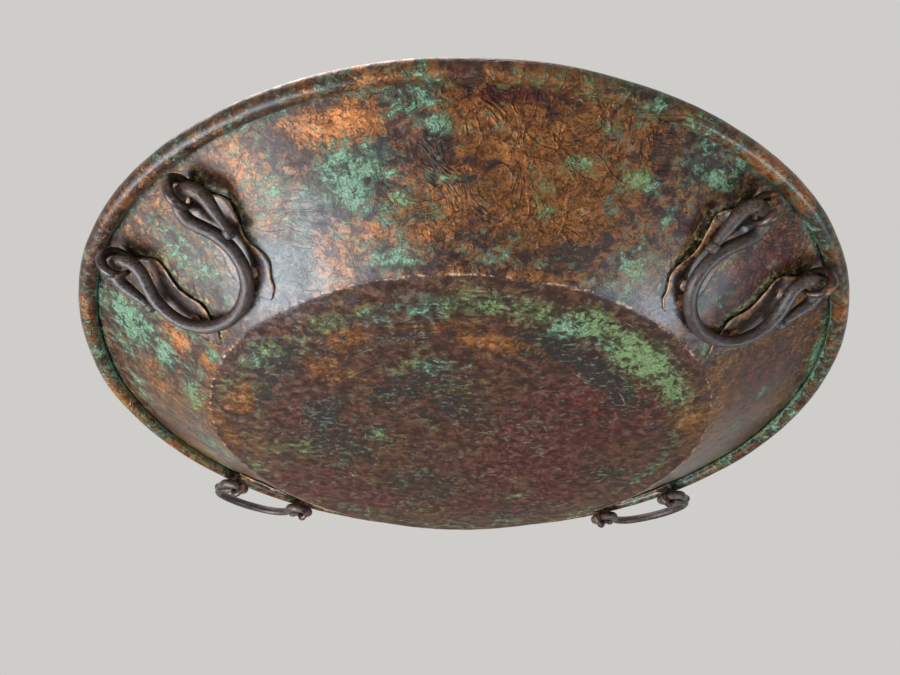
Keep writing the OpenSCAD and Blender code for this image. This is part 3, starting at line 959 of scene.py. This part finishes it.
def copper_material():
    """Aged copper: mottled brown and orange, maroon and black patches, verdigris, and bare scratches, with
    painted shade and a painted sheen.
    """
    m = Shader("aged_copper")
    p = copper_patterns(m)
    colour, bare, glow = copper_metal(m, p)
    colour, soot_and_shadow = copper_soot_and_shadow(m, p, colour)
    colour, film, crust = copper_verdigris(m, p, colour)
    colour, cracks = copper_dirt_and_shade(m, p, colour)
    colour = copper_scuffs(m, p, colour)
    colour, haze = copper_painted_sheen(m, p, colour)
    # The painted sheen also counts as cover, and it lowers the roughness.
    covered = m.math("MAXIMUM", m.math("MAXIMUM", crust, film), m.times(m.add(soot_and_shadow, haze), 0.7), clamp=True)
    metallic = m.times(m.less(covered), m.ramp(m.add(bare, m.times(glow, 0.5)), 0.0, 1.3, 0.2, 0.75))
    roughness = m.add(m.ramp(covered, 0.0, 1.0, 0.34, 0.6), m.swing(p.fine, 0.5), m.times(haze, -0.2))
    scallops = m.cells(88, m.bent(60, 0.01))
    fold = m.math("ABSOLUTE", m.add(m.noise(26, 4, 0.55, 1.6), -0.5))
    here = m.times(m.less(p.on_bottom), m.ramp(p.broad, 0.42, 0.56))
    wrinkles = m.times(m.less(m.ramp(fold, 0.0, 0.045)), here)
    m.bump(
        (m.math("MINIMUM", scallops, 0.55), 0.002),
        (m.add(p.middle, m.times(wrinkles, 0.55)), 0.0016),
        (p.grain, 0.0013),
        (m.add(m.times(crust, 0.9), m.times(p.speck, 1.3), m.times(cracks, -0.5)), 0.0004),
        (m.add(m.times(p.fine, 1.0), m.times(p.streaks, 0.6)), 0.00016),
    )
    m.surface.inputs["Specular IOR Level"].default_value = 0.25
    coat(m, 0.35, 0.28)
    return m.finish(colour, metallic, roughness)


def coat(m, weight, roughness):
    """An even thin gloss over the surface."""
    m.surface.inputs["Coat Weight"].default_value = weight
    m.surface.inputs["Coat Roughness"].default_value = roughness


def strap_material():
    """Forged strap iron: dark red-brown scale, rust along the edges and round the rivets."""
    m = Shader("rusty_strap_iron")
    middle, grain, fine = m.noise(60, 5, 0.6, 0.5), m.noise(240, 6, 0.7, 0.3), m.noise(900, 5, 0.7)
    edge, rust_mask = m.value_of("edge"), m.value_of("rust")
    scale = m.mix(m.ramp(grain, 0.4, 0.62), (0.012, 0.005, 0.004), (0.066, 0.03, 0.021))
    rust = m.mix(m.ramp(fine, 0.4, 0.62), (0.09, 0.028, 0.007), (0.34, 0.15, 0.04))
    rusty = m.add(m.times(edge, 0.75), m.times(rust_mask, 0.6), m.times(m.add(grain, middle, -1.0), 2.2))
    rusty = m.ramp(rusty, 0.15, 0.6)
    colour = m.mix(m.times(rusty, 0.88), scale, rust)
    worn = m.ramp(m.add(edge, m.swing(grain, 2.4)), 0.8, 1.05)
    colour = m.mix(m.times(worn, 0.65), colour, (0.5, 0.338, 0.2))
    metallic = m.ramp(rusty, 0.0, 1.0, 0.5, 0.05)
    roughness = m.add(m.ramp(rusty, 0.0, 1.0, 0.34, 0.75), m.swing(fine, 0.3))
    m.bump((middle, 0.0012), (grain, 0.001), (fine, 0.0003))
    coat(m, 0.5, 0.28)
    return m.finish(colour, metallic, roughness)


def rivet_material():
    """Hammered rivet heads, scaled and rusty."""
    m = Shader("rivet_iron")
    grain, fine = m.noise(420, 6, 0.65, 0.4), m.noise(1400, 6, 0.7)
    scale = m.mix(m.ramp(grain, 0.35, 0.65), (0.088, 0.056, 0.044), (0.375, 0.25, 0.188))
    rust = m.mix(m.ramp(fine, 0.35, 0.7), (0.138, 0.05, 0.018), (0.45, 0.213, 0.075))
    colour = m.mix(m.ramp(grain, 0.5, 0.62), scale, rust)
    m.bump((grain, 0.0006), (fine, 0.0002))
    return m.finish(colour, m.ramp(grain, 0.45, 0.65, 0.6, 0.15), m.ramp(fine, 0.3, 0.7, 0.34, 0.6))


def handle_material():
    """Forged handle bar: dark and rubbed smooth, with fine pits and brighter rubbed crowns."""
    m = Shader("handle_iron")
    middle, grain, fine = m.noise(45, 5, 0.6, 0.7), m.noise(420, 5, 0.72, 0.3), m.noise(900, 4, 0.7)
    rubbed = m.value_of("rubbed")
    colour = m.mix(m.ramp(grain, 0.4, 0.6), (0.02, 0.014, 0.012), (0.07, 0.051, 0.044))
    colour = m.mix(m.times(m.ramp(middle, 0.48, 0.62), 0.4), colour, (0.062, 0.028, 0.016))
    tan = m.times(m.ramp(m.add(rubbed, m.swing(grain, 2.0)), 0.7, 1.2), 0.4)
    colour = m.mix(tan, colour, (0.2, 0.14, 0.095))
    glints = m.ramp(fine, 0.58, 0.63)
    colour = m.mix(m.times(glints, 0.45), colour, (0.18, 0.13, 0.105))
    pits = m.less(m.ramp(fine, 0.36, 0.42))
    colour = m.mix(m.times(pits, 0.75), colour, (0.01, 0.007, 0.006))
    roughness = m.add(m.ramp(grain, 0.3, 0.7, 0.3, 0.46), m.swing(fine, 0.25))
    m.bump((middle, 0.0007), (grain, 0.0006), (fine, 0.00022))
    m.surface.inputs["Specular IOR Level"].default_value = 0.4
    coat(m, 0.15, 0.25)
    return m.finish(colour, m.ramp(middle, 0.3, 0.7, 0.4, 0.25), roughness)


def wire_material():
    """The plain wire inside the roll."""
    m = Shader("rim_wire_iron")
    grain = m.noise(300, 6, 0.6)
    colour = m.mix(m.ramp(grain, 0.35, 0.65), (0.03, 0.02, 0.016), (0.12, 0.07, 0.045))
    m.bump((grain, 0.0003))
    return m.finish(colour, m.ramp(grain, 0.3, 0.7, 0.7, 0.4), m.ramp(grain, 0.3, 0.7, 0.4, 0.65))


# ---- Putting it together ----


def dress(piece, material, body, node):
    """Gives a piece its material and its body, and hides the CAD node that it stands in for."""
    piece.data.materials.append(material)
    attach(piece, body)
    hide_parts(node)


def build_object():
    """Makes every piece of the bowl."""
    dress(copper_bowl(), copper_material(), "bowl", "bowl_shell")
    iron, heads, bars = strap_material(), rivet_material(), handle_material()
    for seed, (corner, number, azimuth) in enumerate(strap_azimuths()):
        dress(strap(corner, number, azimuth, seed), iron, "bowl", f"strap_{corner}_{number}")
        for row, where in enumerate(RIVETS_ALONG):
            node = f"rivet_{corner}_{number}_{where}"
            dress(rivet(corner, number, azimuth, where, 2 * seed + row), heads, "bowl", node)
    for seed, (corner, centre) in enumerate(CORNERS.items()):
        swing = FRONT_SWING if corner.startswith("front") else BACK_SWING
        piece = handle(corner, centre, swing, seed)
        dress(piece, bars, f"bail_{corner}", f"handle_{corner}")
    wire = frame["nodes"]["rim_wire"]
    wire.data.materials.clear()
    wire.data.materials.append(wire_material())


# ---- Camera, floor and light ----

CAMERA_PLACE = (-0.016, -0.511, -0.2755)
CAMERA_AIM = (-0.0113, -0.1166, 0.03)
CAMERA_ROLL = 1.16
CAMERA_LENS = 25.6
FLOOR_HALF = 40000
FLOOR_Z = -0.2
PALE = (0.62, 0.61, 0.59, 1)
DIM = (0.255, 0.218, 0.18, 1)


def add_camera():
    """The photograph's viewpoint: in front of the upright bowl and below it."""
    data = bpy.data.cameras.new("camera")
    data.lens = CAMERA_LENS
    data.sensor_width = 36
    data.clip_start = 0.01
    camera = bpy.data.objects.new("camera", data)
    place = Vector(CAMERA_PLACE)
    turn = (Vector(CAMERA_AIM) - place).to_track_quat("-Z", "Y").to_matrix().to_4x4()
    roll = Matrix.Rotation(math.radians(CAMERA_ROLL), 4, "Z")
    camera.matrix_world = Matrix.Translation(place) @ turn @ roll
    bpy.context.scene.collection.objects.link(camera)
    bpy.context.scene.camera = camera


def floor_material():
    """A plain pale floor that shows only from above, so that the view from below stays open."""
    material = bpy.data.materials.new("pale_floor")
    material.use_nodes = True
    nodes, links = material.node_tree.nodes, material.node_tree.links
    nodes.clear()
    diffuse = nodes.new("ShaderNodeBsdfDiffuse")
    diffuse.inputs["Color"].default_value = PALE
    clear = nodes.new("ShaderNodeBsdfTransparent")
    side = nodes.new("ShaderNodeNewGeometry")
    mix = nodes.new("ShaderNodeMixShader")
    output = nodes.new("ShaderNodeOutputMaterial")
    links.new(side.outputs["Backfacing"], mix.inputs[0])
    links.new(diffuse.outputs[0], mix.inputs[1])
    links.new(clear.outputs[0], mix.inputs[2])
    links.new(mix.outputs[0], output.inputs[0])
    return material


def add_floor():
    """A wide floor just under the bowl, which neither shades it nor shows in its reflections."""
    signs = ((-1, -1), (1, -1), (1, 1), (-1, 1))
    corners = [(x * FLOOR_HALF, y * FLOOR_HALF, FLOOR_Z) for x, y in signs]
    floor = make_object("floor", corners, [(0, 1, 2, 3)])
    floor.data.materials.append(floor_material())
    floor.visible_shadow = False
    floor.visible_glossy = False
    floor.visible_diffuse = False


def add_light(name, place, aim, width, height, power, colour):
    """A soft rectangular lamp, with its place, aim and size in metres."""
    data = bpy.data.lights.new(name, "AREA")
    data.shape = "RECTANGLE"
    data.size, data.size_y = width, height
    data.energy = power
    data.color = colour
    light = bpy.data.objects.new(name, data)
    turn = (Vector(aim) - Vector(place)).to_track_quat("-Z", "Y").to_matrix().to_4x4()
    light.matrix_world = Matrix.Translation(Vector(place)) @ turn
    bpy.context.scene.collection.objects.link(light)


def add_lights():
    """Soft lamps left, right and in front, below the floor for the photograph's view, and one above."""
    add_light("window_left", (-1.0, 0.0, -1.25), (-0.1, -0.15, 0.02), 0.85, 1.0, 47, (0.74, 0.87, 1.0))
    add_light("wall_left", (-1.55, -0.2, -1.2), (-0.15, -0.15, 0.03), 1.3, 1.2, 25, (1.0, 0.95, 0.9))
    add_light("window_right", (1.15, 0.1, -1.1), (0.1, -0.15, 0.02), 0.35, 0.6, 14, (0.7, 0.85, 1.0))
    add_light("front", (0.2, -1.9, -0.5), (0, -0.1, 0.03), 1.6, 1.0, 5, (1.0, 0.95, 0.88))
    add_light("above", (-0.7, -0.5, 1.9), (0, 0, 0.03), 1.6, 1.6, 40, (1.0, 0.98, 0.95))
    world = bpy.data.worlds.new("pale_room")
    world.use_nodes = True
    nodes, links = world.node_tree.nodes, world.node_tree.links
    background = nodes["Background"]
    parts = nodes.new("ShaderNodeSeparateXYZ")
    links.new(nodes.new("ShaderNodeTexCoord").outputs["Generated"], parts.inputs[0])
    height = nodes.new("ShaderNodeMapRange")
    height.inputs["From Min"].default_value = -0.12
    height.inputs["From Max"].default_value = 0.04
    links.new(parts.outputs[2], height.inputs["Value"])
    blend = nodes.new("ShaderNodeMix")
    blend.data_type = "RGBA"
    blend.inputs["A"].default_value = DIM
    blend.inputs["B"].default_value = PALE
    links.new(height.outputs[0], blend.inputs["Factor"])
    links.new(blend.outputs["Result"], background.inputs["Color"])
    bpy.context.scene.world = world
    bpy.context.scene.view_settings.view_transform = "Standard"


build_object()
add_camera()
add_floor()
add_lights()
